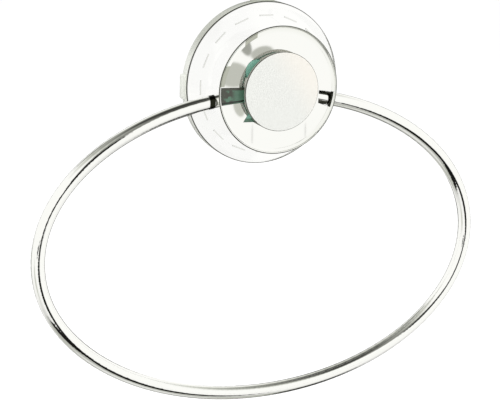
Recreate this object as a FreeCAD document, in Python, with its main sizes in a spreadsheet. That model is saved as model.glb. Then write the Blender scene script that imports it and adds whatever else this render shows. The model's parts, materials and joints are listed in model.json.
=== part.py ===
"""Towel ring on a suction cup: an oval wire ring in a polished dish housing that a stud pulls down on the cup.

Frame: millimetres, +Z up, the front faces -Y. The origin is the centre of the cup's back, on the wall's face,
so a depth in the sheet is a distance from the wall and lies at Y = -depth.
"""
import FreeCAD, Part
import math
import os
import re

import Sketcher
from FreeCAD import Placement, Rotation, Vector

# Every driving dimension: its alias, its value and what it measures.
SIZES = [
    ("wire_radius", 3.0, "radius of the ring's wire"),
    ("wire_depth", 17.5, "distance from the wall to the wire's centre line"),
    ("oval_half_width", 103.8, "half the oval's width, at the wire's centre line"),
    ("oval_half_height", 68.7, "half the oval's height, at the wire's centre line"),
    ("oval_drop", 71.35, "how far the oval's centre lies under the mount's axis"),
    ("straight_start", 28.5, "where the oval ends and the wire's straight end begins, from the middle"),
    ("wire_end", 15.6, "where the wire's end lies in its socket, from the middle"),
    ("rim_radius", 28.0, "outer radius of the housing's rim"),
    ("rim_depth", 22.5, "distance from the wall to the front of the rim"),
    ("rim_width", 0.9, "width of the rounded rim"),
    ("rim_round", 0.5, "rounding of the rim's front"),
    ("rim_hollow", 8.0, "radius of the hollow that leads from the front plate up to the rim"),
    ("rim_hollow_width", 1.5, "width of that hollow"),
    ("foot_radius", 21.4, "outer radius of the housing where it stands on the cup"),
    ("shell_wall", 1.6, "wall of the housing's skirt and well"),
    ("plate_wall", 2.0, "thickness of the front plate"),
    ("well_radius", 15.2, "radius inside the well in the housing's middle"),
    ("well_back", 11.9, "distance from the wall to the back of the well's floor"),
    ("floor_wall", 2.0, "thickness of the well's floor, which the nut presses"),
    ("collar_wall", 1.0, "wall of the collar that stands round the well's mouth, under the cap"),
    ("socket_wall", 0.7, "wall of the sockets round the wire"),
    ("socket_end_wall", 1.2, "wall that closes a socket inside the well"),
    ("fit_gap", 0.05, "clearance of the wire in its socket and of other close fits"),
    ("tab_gap", 0.12, "clearance round the carrier's tabs in their notches"),
    ("slot_start", 19.4, "where the open slot over the right wire end begins, from the middle"),
    ("slot_reach", 26.6, "radius at which that slot ends"),
    ("slot_top_start", 0.4, "how far the slot's upper edge lies under the middle at its start"),
    ("slot_top_fall", 5.5, "angle at which the upper edge falls"),
    ("slot_low_start", 6.0, "how far the slot's lower edge lies under the middle at its start"),
    ("slot_low_fall", 15.5, "angle at which the lower edge falls"),
    ("arm_top", 1.4, "how far the upper edge of the carrier's arm lies over the middle"),
    ("arm_low", 3.0, "how far its lower edge would lie under the middle, at the axis"),
    ("arm_fall", 6.5, "angle at which the lower edge falls towards the rim"),
    ("arm_reach", 26.9, "radius at which the arm ends"),
    ("lobe_aside", 11.1, "distance of the carrier's round lobe from the middle, to the left"),
    ("lobe_above", 8.6, "height of the lobe's centre over the middle"),
    ("lobe_radius", 4.9, "radius of the lobe"),
    ("toe_top", 9.6, "how far the top of the carrier's pointed toe lies under the middle"),
    ("toe_bottom", 13.5, "how far its straight bottom edge lies under the middle"),
    ("toe_aside", 13.4, "distance of the toe's top from the middle, to the left"),
    ("toe_reach", 15.6, "distance of the toe's outer corner from the middle, to the left"),
    ("toe_inner", 6.0, "distance of the toe's inner side from the middle, to the left"),
    ("carrier_gap", 0.1, "clearance of the carrier in the well"),
    ("carrier_rise", 2.9, "height of the carrier's head over the front plate"),
    ("carrier_radius", 16.3, "radius of the carrier's head"),
    ("carrier_plate", 1.8, "thickness of the carrier over the nut"),
    ("carrier_recess", 8.5, "radius of the hollow in the carrier's back, round the nut"),
    ("cap_radius", 17.25, "radius of the front cap"),
    ("cap_wall", 0.8, "sheet thickness of the front cap"),
    ("cap_bevel", 0.3, "bevel round the front cap's face"),
    ("cap_skirt", 0.6, "how far the cap's edge reaches back over the carrier's head"),
    ("cup_radius", 36.1, "radius of the suction cup"),
    ("cup_edge", 5.7, "depth of the cup's edge"),
    ("cup_seat", 9.6, "distance from the wall to the seat under the housing"),
    ("seat_margin", 0.5, "how much wider than the housing's foot the seat is"),
    ("cup_neck", 7.5, "radius of the neck that stands under the well's floor"),
    ("cup_hollow", 1.3, "depth of the hollow in the cup's back"),
    ("cup_lip", 4.5, "width of the flat sealing lip round the hollow"),
    ("cup_turn", 2.0, "angle by which the cup sits turned on the wall, counter-clockwise from the front"),
    ("edge_round", 0.7, "rounding of the cup's front edge"),
    ("nib_width", 11.0, "width of a grip nib"),
    ("nib_reach", 1.6, "how far a grip nib stands out of the cup's edge"),
    ("nib_start", 0.8, "distance from the wall to the back of a nib"),
    ("nib_thick", 3.4, "thickness of a nib"),
    ("nib_round", 1.2, "rounding of a nib's corners"),
    ("dash_ring", 30.25, "radius of the ring of raised dashes"),
    ("dash_length", 6.5, "length of a dash"),
    ("dash_width", 0.8, "width of a dash"),
    ("dash_rise", 0.3, "height of a dash over the cup's face"),
    ("dash_count", 16, "number of dashes in the ring"),
    ("stud_radius", 3.0, "radius of the stud"),
    ("stud_head", 10.0, "radius of the stud's head"),
    ("stud_head_start", 3.2, "distance from the wall to the back of the stud's head"),
    ("stud_head_thick", 2.2, "thickness of the stud's head"),
    ("stud_proud", 0.9, "how far the stud's tip stands out of the nut"),
    ("stud_gap", 0.25, "clearance round the stud in the housing, the washer and the nut"),
    ("tip_bevel", 0.5, "bevel of the stud's tip"),
    ("washer_radius", 6.2, "outer radius of the washer"),
    ("washer_thick", 1.2, "thickness of the washer"),
    ("nut_flats", 10.0, "width of the nut across its flats"),
    ("nut_thick", 5.0, "thickness of the nut"),
    ("nut_face", 4.8, "radius of the nut's front face inside its bevel"),
    ("screw_radius", 2.0, "radius of a set screw"),
    ("screw_inset", 0.8, "distance from the wire's end to the side of its set screw"),
    ("screw_start", 10.4, "distance from the wall to the back of a set screw"),
    ("screw_key", 2.0, "width of a set screw's hexagon socket across its flats"),
    ("screw_key_depth", 1.8, "depth of that socket"),
    ("tower_wall", 1.4, "wall of the housing's tower round a set screw"),
    ("tower_start", 10.1, "distance from the wall to the back of a tower"),
    ("cut_over", 1.0, "how far a cut runs past the face that it opens"),
]
ALIASES = [alias for alias, value, note in SIZES]

doc = FreeCAD.newDocument("TowelRing")
sheet = doc.addObject("Spreadsheet::Sheet", "Sizes")
for row, (alias, value, note) in enumerate(SIZES, start=1):
    sheet.set("A%d" % row, note)
    sheet.set("B%d" % row, str(value))
    sheet.setAlias("B%d" % row, alias)
doc.recompute()

# Sizes that follow from the driving ones, as expressions. The wire leaves the oval along its tangent.
END_TURN = "acos(straight_start / oval_half_width)"
END_DROP = "(oval_drop - oval_half_height * sin(%s))" % END_TURN
END_SLOPE = "atan(oval_half_height * cos(%s) / (oval_half_width * sin(%s)))" % (END_TURN, END_TURN)
SEAT_RADIUS = "(foot_radius + seat_margin)"
CONE_FALL = "((cup_seat - cup_edge) / (cup_radius - %s))" % SEAT_RADIUS
RIM_EDGE = "(rim_depth - rim_round + sqrt(rim_round ^ 2 - (rim_width / 2) ^ 2))"
RIM_INSIDE = "(rim_radius - rim_width)"
PLATE = "(%s - rim_hollow + sqrt(rim_hollow ^ 2 - rim_hollow_width ^ 2))" % RIM_EDGE
PLATE_BACK = "(%s - plate_wall)" % PLATE
SLEEVE_FRONT = "(wire_depth + wire_radius + socket_wall)"
TAB_BACK = "(%s + fit_gap)" % SLEEVE_FRONT
FLOOR_FRONT = "(well_back + floor_wall)"
WASHER_FRONT = "(%s + washer_thick)" % FLOOR_FRONT
STUD_TIP = "(%s + nut_thick + stud_proud)" % WASHER_FRONT
CAP_INSIDE = "(%s + carrier_rise)" % PLATE
CAP_BACK = "(%s - cap_skirt)" % CAP_INSIDE
CAP_FRONT = "(%s + cap_wall)" % CAP_INSIDE
SCREW_PLACE = "(wire_end + screw_inset + screw_radius)"
SCREW_DROP = "(%s - (straight_start - %s) * tan(%s))" % (END_DROP, SCREW_PLACE, END_SLOPE)


def terms(text):
    """The expression with each alias written as the sheet's cell."""
    return re.sub(r"[a-z]+(_[a-z]+)*", lambda m: "Sizes." + m[0] if m[0] in ALIASES else m[0], text)


def number(text):
    """The value of an expression, in millimetres or degrees."""
    value = sheet.evalExpression(terms(text))
    return float(getattr(value, "Value", value))


def bind(thing, prop, text):
    thing.setExpression(prop, terms(text))


def new_body(name):
    body = doc.addObject("PartDesign::Body", "Body_" + name)
    body.Label = name
    return body


def origin_item(body, role):
    return next(item for item in body.Origin.OriginFeatures if item.Role == role)


def new_sketch(body, name, plane="XY_Plane", turn=None, base=(), axis=Vector(0, -1, 0)):
    """A sketch on one of the body's own planes, turned about an axis and moved, in the plane's own directions.
    On the XY plane the default axis counts the turn from +X towards +Z."""
    sketch = body.newObject("Sketcher::SketchObject", name)
    sketch.AttachmentSupport = [(origin_item(body, plane), "")]
    sketch.MapMode = "FlatFace"
    if turn:
        sketch.AttachmentOffset = Placement(Vector(), Rotation(axis, number(turn)))
        bind(sketch, "AttachmentOffset.Rotation.Angle", turn)
    for letter, text in zip("xyz", base):
        bind(sketch, "AttachmentOffset.Base." + letter, text)
    return sketch


def draw_outline(sketch, corners):
    """A closed outline through the corners. A third entry bends the run to the next corner to that radius, with
    its centre on the left of the way round, or on the right where a fourth entry says so."""
    spots = [Vector(number(corner[0]), number(corner[1]), 0) for corner in corners]
    first_ends = []
    last_ends = []
    for index, corner in enumerate(corners):
        here = spots[index]
        there = spots[(index + 1) % len(spots)]
        ends = [1, 2]
        if len(corner) == 2:
            geometry = sketch.addGeometry(Part.LineSegment(here, there), False)
        else:
            if corner[3:] == ("right",):
                here, there = there, here
                ends = [2, 1]
            radius = number(corner[2])
            chord = there - here
            rise = math.sqrt(radius ** 2 - (chord.Length / 2) ** 2)
            centre = (here + there) / 2 + Vector(-chord.y, chord.x, 0) * (rise / chord.Length)
            start = math.atan2(here.y - centre.y, here.x - centre.x)
            swept = 2 * math.asin(chord.Length / 2 / radius)
            circle = Part.Circle(centre, Vector(0, 0, 1), radius)
            geometry = sketch.addGeometry(Part.ArcOfCircle(circle, start, start + swept), False)
            bend = sketch.addConstraint(Sketcher.Constraint("Radius", geometry, radius))
            bind(sketch, "Constraints[%d]" % bend, corner[2])
        first_ends.append((geometry, ends[0]))
        last_ends.append((geometry, ends[1]))
    for index, corner in enumerate(corners):
        sketch.addConstraint(Sketcher.Constraint("Coincident", *last_ends[index - 1], *first_ends[index]))
        places = (("DistanceX", spots[index].x, corner[0]), ("DistanceY", spots[index].y, corner[1]))
        for kind, place, text in places:
            held = sketch.addConstraint(Sketcher.Constraint(kind, -1, 1, *first_ends[index], place))
            bind(sketch, "Constraints[%d]" % held, text)


def draw_circle(sketch, radius):
    circle = sketch.addGeometry(Part.Circle(Vector(), Vector(0, 0, 1), number(radius)), False)
    sketch.addConstraint(Sketcher.Constraint("Coincident", circle, 3, -1, 1))
    held = sketch.addConstraint(Sketcher.Constraint("Radius", circle, number(radius)))
    bind(sketch, "Constraints[%d]" % held, radius)


def turn_profile(body, name, corners, kind="Revolution", turn=None, angle=None):
    """A revolved or cut profile about the Y axis. A corner is a radius and a depth from the wall."""
    sketch = new_sketch(body, name + "_sketch", turn=turn)
    draw_outline(sketch, [(corner[0], "-(%s)" % corner[1]) + tuple(corner[2:]) for corner in corners])
    feature = body.newObject("PartDesign::" + kind, name)
    feature.Profile = sketch
    feature.ReferenceAxis = (sketch, ["V_Axis"])
    if angle:
        feature.Midplane = True
        feature.Angle = number(angle)
        bind(feature, "Angle", angle)
    doc.recompute()
    return feature


def push_sketch(body, name, sketch, length, kind="Pad", back=False):
    feature = body.newObject("PartDesign::" + kind, name)
    feature.Profile = sketch
    feature.Length = number(length)
    bind(feature, "Length", length)
    feature.Reversed = back
    feature.Refine = False
    doc.recompute()
    return feature


def mirror_across(body, name, features):
    """The features once more on the left, across the YZ plane."""
    feature = body.newObject("PartDesign::Mirrored", name)
    feature.Originals = features
    feature.MirrorPlane = (origin_item(body, "YZ_Plane"), [""])
    body.Tip = feature
    doc.recompute()
    return feature


def round_circles(body, name, kind, size, circles):
    """Rounds or bevels the circular edges with the given radii and depths, about the Y axis."""
    base = body.Tip
    wanted = [(number(radius), -number(depth)) for radius, depth in circles]
    names = []
    for index, edge in enumerate(base.Shape.Edges, start=1):
        if edge.Degenerated or not isinstance(edge.Curve, Part.Circle):
            continue
        spot = (edge.Curve.Radius, edge.Curve.Center.y)
        if any(math.dist(spot, want) < 1e-4 for want in wanted):
            names.append("Edge%d" % index)
    feature = body.newObject("PartDesign::" + kind, name)
    feature.Base = (base, names)
    prop = "Radius" if kind == "Fillet" else "Size"
    setattr(feature, prop, number(size))
    bind(feature, prop, size)
    doc.recompute()
    return feature


def ring_wire():
    """The oval, swept along its ellipse from one straight end to the other, and the two straight ends."""
    oval = doc.addObject("Part::Ellipse", "Oval")
    bind(oval, "MajorRadius", "oval_half_width")
    bind(oval, "MinorRadius", "oval_half_height")
    bind(oval, "Angle1", "180 deg - " + END_TURN)
    bind(oval, "Angle2", "360 deg + " + END_TURN)
    oval.Placement = Placement(Vector(), Rotation(Vector(1, 0, 0), 90))
    bind(oval, "Placement.Base.y", "-wire_depth")
    bind(oval, "Placement.Base.z", "-oval_drop")
    section = doc.addObject("Part::Circle", "Wire_section")
    bind(section, "Radius", "wire_radius")
    section.Placement = Placement(Vector(), Rotation(Vector(0, 1, 0), 90 - number(END_SLOPE)))
    bind(section, "Placement.Rotation.Angle", "90 deg - " + END_SLOPE)
    bind(section, "Placement.Base.x", "-straight_start")
    bind(section, "Placement.Base.y", "-wire_depth")
    bind(section, "Placement.Base.z", "-" + END_DROP)
    sweep = doc.addObject("Part::Sweep", "Oval_sweep")
    sweep.Sections = [section]
    sweep.Spine = (oval, ["Edge1"])
    sweep.Solid = True
    sweep.Frenet = False
    pieces = [sweep]
    for side, name in ((1, "Right_end"), (-1, "Left_end")):
        rod = doc.addObject("Part::Cylinder", name)
        bind(rod, "Radius", "wire_radius")
        bind(rod, "Height", "(straight_start - wire_end) / cos(%s)" % END_SLOPE)
        rod.Placement = Placement(Vector(), Rotation(Vector(0, -side, 0), 90 - number(END_SLOPE)))
        bind(rod, "Placement.Rotation.Angle", "90 deg - " + END_SLOPE)
        bind(rod, "Placement.Base.x", "%d * straight_start" % side)
        bind(rod, "Placement.Base.y", "-wire_depth")
        bind(rod, "Placement.Base.z", "-" + END_DROP)
        pieces.append(rod)
    fuse = doc.addObject("Part::MultiFuse", "Ring_wire")
    fuse.Shapes = pieces
    fuse.Label = "ring_wire"
    return fuse


def socket_sketch(body, name, reach, radius):
    """A circle square to the right-hand wire end, at a distance from the middle."""
    drop = "%s - (straight_start - (%s)) * tan(%s)" % (END_DROP, reach, END_SLOPE)
    sketch = new_sketch(body, name, "YZ_Plane", turn=END_SLOPE, axis=Vector(1, 0, 0),
                        base=("-wire_depth", "-(%s)" % drop, reach))
    draw_circle(sketch, radius)
    return sketch


def screw_sketch(body, name, depth, radius):
    """A circle square to the Y axis behind the right-hand wire end, at a depth from the wall."""
    sketch = new_sketch(body, name, "XZ_Plane", base=(SCREW_PLACE, "-%s" % SCREW_DROP, depth))
    draw_circle(sketch, radius)
    return sketch


def front_sketch(body, name, depth, corners):
    """An outline in the plane of the front plate, at a depth from the wall. A corner is its X and its Z."""
    sketch = new_sketch(body, name, "XZ_Plane", base=("0", "0", depth))
    draw_outline(sketch, corners)
    return sketch


def tab_outlines(grow):
    """The carrier's arm, lobe and toe, which reach out into the front plate, each wider by grow all round."""
    end = "(arm_reach + %s)" % grow
    top = "(arm_top + %s)" % grow
    low = "(arm_low + well_radius * tan(arm_fall) + %s)" % grow
    low_end = "(arm_low + arm_reach * tan(arm_fall) + %s)" % grow
    lobe = "(lobe_radius + %s)" % grow
    above = "(lobe_above + %s)" % lobe
    below = "(lobe_above - %s)" % lobe
    return (
        ("Arm", [
            ("-lobe_aside", top),
            ("-sqrt(%s ^ 2 - %s ^ 2)" % (end, top), top, end),
            ("-sqrt(%s ^ 2 - %s ^ 2)" % (end, low_end), "-" + low_end),
            ("-well_radius", "-" + low),
            ("-lobe_aside", "-" + low),
        ]),
        ("Lobe", [
            ("-lobe_aside", above, lobe),
            ("-lobe_aside - " + lobe, "lobe_above", lobe),
            ("-lobe_aside", below, lobe),
            ("-lobe_aside + " + lobe, "lobe_above", lobe),
        ]),
        ("Toe", [
            ("-toe_aside - %s / 2" % grow, "%s - toe_top" % grow),
            ("-toe_reach - 2 * " + grow, "-toe_bottom - " + grow),
            ("-toe_inner", "-toe_bottom - " + grow),
            ("-toe_inner", "%s - toe_top" % grow),
        ]),
    )


def housing():
    """Dish and well turned as one casting, hollow behind. Two sockets behind its plate hold the wire, and the
    right one lies open to the front through a slot. The carrier's notches are open to the front, so that the
    carrier drops in."""
    body = new_body("housing")
    lean = "((rim_radius - foot_radius) / (%s - cup_seat))" % RIM_EDGE
    slant = "sqrt(1 + %s ^ 2)" % lean
    wall = "(shell_wall * %s)" % slant
    turn_profile(body, "Casting", [
        (RIM_INSIDE, RIM_EDGE, "rim_hollow"),
        (RIM_INSIDE + " - rim_hollow_width", PLATE),
        ("well_radius + collar_wall", PLATE),
        ("well_radius + collar_wall", CAP_BACK + " - fit_gap"),
        ("well_radius", CAP_BACK + " - fit_gap"),
        ("well_radius", FLOOR_FRONT),
        ("stud_radius + stud_gap", FLOOR_FRONT),
        ("stud_radius + stud_gap", "well_back"),
        ("well_radius + shell_wall", "well_back"),
        ("well_radius + shell_wall", PLATE_BACK),
        ("foot_radius - %s + %s * (%s - cup_seat)" % (wall, lean, PLATE_BACK), PLATE_BACK),
        ("foot_radius - %s" % wall, "cup_seat"),
        ("foot_radius", "cup_seat"),
        ("rim_radius", RIM_EDGE, "rim_round", "right"),
    ])
    start = "wire_end - socket_end_wall"
    reach = "(rim_radius - (%s)) / cos(%s)" % (start, END_SLOPE)
    sketch = socket_sketch(body, "Sleeve_sketch", start, "wire_radius + socket_wall")
    sleeve = push_sketch(body, "Sleeve", sketch, reach)
    sketch = screw_sketch(body, "Tower_sketch", "tower_start", "screw_radius + tower_wall")
    tower = push_sketch(body, "Tower", sketch, "wire_depth - tower_start")
    mirror_across(body, "Left_sleeve", [sleeve, tower])
    beyond = "(rim_radius + cup_radius)"
    turn_profile(body, "Skirt_trim", [
        ("rim_radius", RIM_EDGE),
        (beyond, RIM_EDGE),
        (beyond, "0"),
        ("foot_radius - %s * cup_seat" % lean, "0"),
    ], kind="Groove")
    sketch = socket_sketch(body, "Socket_sketch", "wire_end", "wire_radius + fit_gap")
    bore = push_sketch(body, "Socket", sketch, beyond, kind="Pocket", back=True)
    sketch = screw_sketch(body, "Screw_sketch", "tower_start - cut_over", "screw_radius")
    tap_length = "wire_depth - tower_start + cut_over"
    tap = push_sketch(body, "Screw_hole", sketch, tap_length, kind="Pocket", back=True)
    mirror_across(body, "Left_socket", [bore, tap])
    slot_top = "(slot_top_start + (slot_reach - slot_start) * tan(slot_top_fall))"
    slot_low = "(slot_low_start + (slot_reach - slot_start) * tan(slot_low_fall))"
    slot = front_sketch(body, "Slot_sketch", "wire_depth", [
        ("slot_start", "-slot_top_start"),
        ("slot_start", "-slot_low_start"),
        ("sqrt(slot_reach ^ 2 - %s ^ 2)" % slot_low, "-" + slot_low, "slot_reach"),
        ("sqrt(slot_reach ^ 2 - %s ^ 2)" % slot_top, "-" + slot_top),
    ])
    push_sketch(body, "Slot", slot, "rim_depth - wire_depth + cut_over", kind="Pocket", back=True)
    open_length = "%s - %s + cut_over" % (CAP_BACK, SLEEVE_FRONT)
    for name, corners in tab_outlines("tab_gap"):
        notch = front_sketch(body, name + "_notch_sketch", SLEEVE_FRONT, corners)
        push_sketch(body, name + "_notch", notch, open_length, kind="Pocket", back=True)
    return body


def cap_carrier():
    """Moulded hub in the well: its head carries the front cap, and an arm, a round lobe and a pointed toe lie
    flush in the front plate."""
    body = new_body("cap_carrier")
    hub = "well_radius - carrier_gap"
    over_nut = "(%s - carrier_plate)" % CAP_INSIDE
    turn_profile(body, "Hub", [
        ("0", over_nut),
        ("carrier_recess", over_nut),
        ("carrier_recess", TAB_BACK),
        (hub, TAB_BACK),
        (hub, CAP_BACK),
        ("carrier_radius", CAP_BACK),
        ("carrier_radius", CAP_INSIDE),
        ("0", CAP_INSIDE),
    ])
    for name, corners in tab_outlines("0"):
        tab = front_sketch(body, name + "_sketch", TAB_BACK, corners)
        push_sketch(body, name, tab, "%s - %s" % (PLATE, TAB_BACK))
    return body


def front_cap():
    """A disc pressed as a shallow cap over the carrier's plate."""
    body = new_body("front_cap")
    turn_profile(body, "Pressing", [
        ("0", CAP_FRONT),
        ("0", CAP_INSIDE),
        ("cap_radius - cap_wall", CAP_INSIDE),
        ("cap_radius - cap_wall", CAP_BACK),
        ("cap_radius", CAP_BACK),
        ("cap_radius", CAP_FRONT),
    ])
    round_circles(body, "Face_bevel", "Chamfer", "cap_bevel", [("cap_radius", CAP_FRONT)])
    return body


def suction_cup():
    """Clear soft disc: a deep edge, a shallow cone up to the housing's seat, and a neck round the stud."""
    body = new_body("suction_cup")
    lip = "(cup_radius - cup_lip)"
    roof = "((%s ^ 2 + cup_hollow ^ 2) / (2 * cup_hollow))" % lip
    head_front = "(stud_head_start + stud_head_thick)"
    turn_profile(body, "Disc", [
        ("0", "cup_hollow", roof),
        (lip, "0"),
        ("cup_radius", "0"),
        ("cup_radius", "cup_edge"),
        (SEAT_RADIUS, "cup_seat"),
        ("cup_neck", "cup_seat"),
        ("cup_neck", "well_back"),
        ("stud_radius", "well_back"),
        ("stud_radius", head_front),
        ("stud_head", head_front),
        ("stud_head", "stud_head_start"),
        ("0", "stud_head_start"),
    ])
    round_circles(body, "Edge_rounding", "Fillet", "edge_round", [("cup_radius", "cup_edge")])
    for index, place in enumerate(("90", "180")):
        sketch = new_sketch(body, "Nib_sketch_%d" % index, "XZ_Plane", turn=place, axis=Vector(0, 0, 1),
                            base=("0", "0", "nib_start"))
        draw_outline(sketch, [
            ("cup_radius - nib_width / 2", "-nib_width / 2"),
            ("cup_radius + nib_reach - nib_round", "-nib_width / 2", "nib_round"),
            ("cup_radius + nib_reach", "nib_round - nib_width / 2"),
            ("cup_radius + nib_reach", "nib_width / 2 - nib_round", "nib_round"),
            ("cup_radius + nib_reach - nib_round", "nib_width / 2"),
            ("cup_radius - nib_width / 2", "nib_width / 2"),
        ])
        push_sketch(body, "Nib_%d" % index, sketch, "nib_thick")
    face = "(cup_edge + (cup_radius - dash_ring) * %s + (%s) * %s)"
    inner = "dash_ring - dash_width / 2"
    outer = "dash_ring + dash_width / 2"
    dash = turn_profile(body, "Dash", [
        (inner, (face % (CONE_FALL, "dash_width / 2", CONE_FALL)) + " - dash_rise"),
        (outer, (face % (CONE_FALL, "-dash_width / 2", CONE_FALL)) + " - dash_rise"),
        (outer, (face % (CONE_FALL, "-dash_width / 2", CONE_FALL)) + " + dash_rise"),
        (inner, (face % (CONE_FALL, "dash_width / 2", CONE_FALL)) + " + dash_rise"),
    ], angle="dash_length / dash_ring * 180 / pi")
    pattern = body.newObject("PartDesign::PolarPattern", "Dash_ring")
    pattern.Originals = [dash]
    pattern.Axis = (origin_item(body, "Y_Axis"), [""])
    pattern.Angle = 360
    bind(pattern, "Occurrences", "dash_count")
    body.Tip = pattern
    body.Placement = Placement(Vector(), Rotation(Vector(0, -1, 0), number("cup_turn")))
    bind(body, "Placement.Rotation.Angle", "cup_turn")
    return body


def stud():
    """Flat head and shank, with a bevelled tip. Its thread is too fine to model."""
    body = new_body("stud")
    head_front = "(stud_head_start + stud_head_thick)"
    turn_profile(body, "Turning", [
        ("0", "stud_head_start"),
        ("stud_head", "stud_head_start"),
        ("stud_head", head_front),
        ("stud_radius", head_front),
        ("stud_radius", STUD_TIP + " - tip_bevel"),
        ("stud_radius - tip_bevel", STUD_TIP),
        ("0", STUD_TIP),
    ])
    return body


def washer():
    body = new_body("washer")
    turn_profile(body, "Blank", [
        ("stud_radius + stud_gap", FLOOR_FRONT),
        ("washer_radius", FLOOR_FRONT),
        ("washer_radius", WASHER_FRONT),
        ("stud_radius + stud_gap", WASHER_FRONT),
    ])
    return body


def primitive(kind, name, values, depth, place=("0", "0")):
    """A primitive that stands on its axis along -Y, with its base at a depth from the wall."""
    thing = doc.addObject(kind, name)
    for prop, text in values.items():
        bind(thing, prop, text)
    thing.Placement = Placement(Vector(), Rotation(Vector(1, 0, 0), 90))
    for letter, text in zip("xyz", (place[0], "-(%s)" % depth, place[1])):
        bind(thing, "Placement.Base." + letter, text)
    return thing


def joined(kind, name, base, tool):
    thing = doc.addObject(kind, name)
    thing.Base = base
    thing.Tool = tool
    return thing


def hex_nut():
    """Hexagon with a plain hole, its corners taken down in front by a cone."""
    hexagon = primitive("Part::Prism", "Nut_hexagon",
                        {"Circumradius": "nut_flats / 2 / cos(30)", "Height": "nut_thick"}, WASHER_FRONT)
    cone = primitive("Part::Cone", "Nut_cone",
                     {"Radius1": "nut_flats / 2 + nut_thick / tan(30)", "Radius2": "nut_face",
                      "Height": "nut_thick"}, WASHER_FRONT)
    hole = primitive("Part::Cylinder", "Nut_hole",
                     {"Radius": "stud_radius + stud_gap", "Height": "nut_thick"}, WASHER_FRONT)
    nut = joined("Part::Cut", "Hex_nut", joined("Part::Common", "Nut_shaped", hexagon, cone), hole)
    nut.Label = "hex_nut"
    return nut


def set_screws():
    """Two socket set screws, one behind each wire end, as separate solids in one piece."""
    length = "wire_depth - wire_radius - fit_gap - screw_start"
    place = (SCREW_PLACE, "-%s" % SCREW_DROP)
    shank = primitive("Part::Cylinder", "Screw_shank", {"Radius": "screw_radius", "Height": length},
                      "screw_start", place=place)
    key = primitive("Part::Prism", "Screw_key",
                    {"Circumradius": "screw_key / 2 / cos(30)", "Height": "screw_key_depth"},
                    "screw_start", place=place)
    screw = joined("Part::Cut", "Right_screw", shank, key)
    other = doc.addObject("Part::Mirroring", "Left_screw")
    other.Source = screw
    other.Normal = Vector(1, 0, 0)
    pair = doc.addObject("Part::Compound", "Set_screws")
    pair.Links = [screw, other]
    pair.Label = "set_screws"
    return pair


def check_and_write(nodes):
    """Stops on any failed object, then writes each piece to its own file."""
    doc.recompute()
    for thing in doc.Objects:
        if "Invalid" in thing.State or "Error" in thing.State:
            raise RuntimeError("%s failed: %s" % (thing.Name, thing.State))
    for node in nodes:
        if node.Shape.isNull() or not node.Shape.isValid():
            raise RuntimeError("%s has no valid shape" % node.Label)
    os.makedirs("parts", exist_ok=True)
    for node in nodes:
        node.Shape.exportStep("parts/%s.step" % node.Label)
        print("%-14s %d solid(s) %10.1f mm3" % (node.Label, len(node.Shape.Solids), node.Shape.Volume))


check_and_write([
    ring_wire(),
    housing(),
    front_cap(),
    cap_carrier(),
    suction_cup(),
    stud(),
    washer(),
    hex_nut(),
    set_screws(),
])
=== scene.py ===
"""Looks for a towel ring on a suction cup: its chromed wire and dish, satin cap, clear cup and studio."""
import json
import math

import bpy
from bpy.props import FloatProperty, FloatVectorProperty, IntProperty, PointerProperty
from mathutils import Matrix, Vector

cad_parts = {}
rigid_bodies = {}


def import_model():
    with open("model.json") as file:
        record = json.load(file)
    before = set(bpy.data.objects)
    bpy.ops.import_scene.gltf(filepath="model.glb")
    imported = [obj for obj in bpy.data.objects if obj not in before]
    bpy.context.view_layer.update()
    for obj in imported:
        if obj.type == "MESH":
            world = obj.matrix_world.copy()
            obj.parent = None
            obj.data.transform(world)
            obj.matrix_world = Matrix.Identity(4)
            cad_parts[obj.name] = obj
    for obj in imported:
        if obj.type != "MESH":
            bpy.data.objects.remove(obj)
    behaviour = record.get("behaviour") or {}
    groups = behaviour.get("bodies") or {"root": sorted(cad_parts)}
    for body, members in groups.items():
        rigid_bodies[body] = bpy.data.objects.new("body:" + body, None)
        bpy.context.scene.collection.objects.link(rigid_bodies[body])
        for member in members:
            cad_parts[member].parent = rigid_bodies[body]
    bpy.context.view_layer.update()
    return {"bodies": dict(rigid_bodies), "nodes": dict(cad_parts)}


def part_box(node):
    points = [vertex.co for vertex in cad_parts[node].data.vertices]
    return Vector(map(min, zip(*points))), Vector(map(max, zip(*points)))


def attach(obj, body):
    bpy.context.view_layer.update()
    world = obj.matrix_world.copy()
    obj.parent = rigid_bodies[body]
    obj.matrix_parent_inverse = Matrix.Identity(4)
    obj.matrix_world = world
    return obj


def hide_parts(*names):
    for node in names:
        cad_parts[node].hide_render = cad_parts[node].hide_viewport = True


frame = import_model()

bl_info = {
    "name": "Towel Ring Finisher",
    "version": (1, 0, 0),
    "blender": (4, 5, 0),
    "location": "View3D > Sidebar > Towel Ring",
    "description": "Models and finishes a suction-mounted towel ring over its packed frame",
    "category": "Object",
}

MM = 0.001
BODY = "root" if "root" in frame["bodies"] else next(iter(frame["bodies"]))
RING_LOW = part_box("ring_wire")[0]
WHITE = (1.0, 1.0, 1.0)


def linear(hex_colour):
    """An sRGB hex colour such as 75A593 as linear red, green and blue."""
    shares = [int(hex_colour[place:place + 2], 16) / 255 for place in (0, 2, 4)]
    return tuple(share / 12.92 if share <= 0.04045 else ((share + 0.055) / 1.055) ** 2.4
                 for share in shares)


def length(name, metres, description):
    return FloatProperty(name=name, default=metres, min=0, subtype="DISTANCE", unit="LENGTH",
                         precision=5, description=description)


def colour(name, hex_colour, description):
    return FloatVectorProperty(name=name, default=linear(hex_colour), min=0, max=1, subtype="COLOR",
                               description=description)


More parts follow.
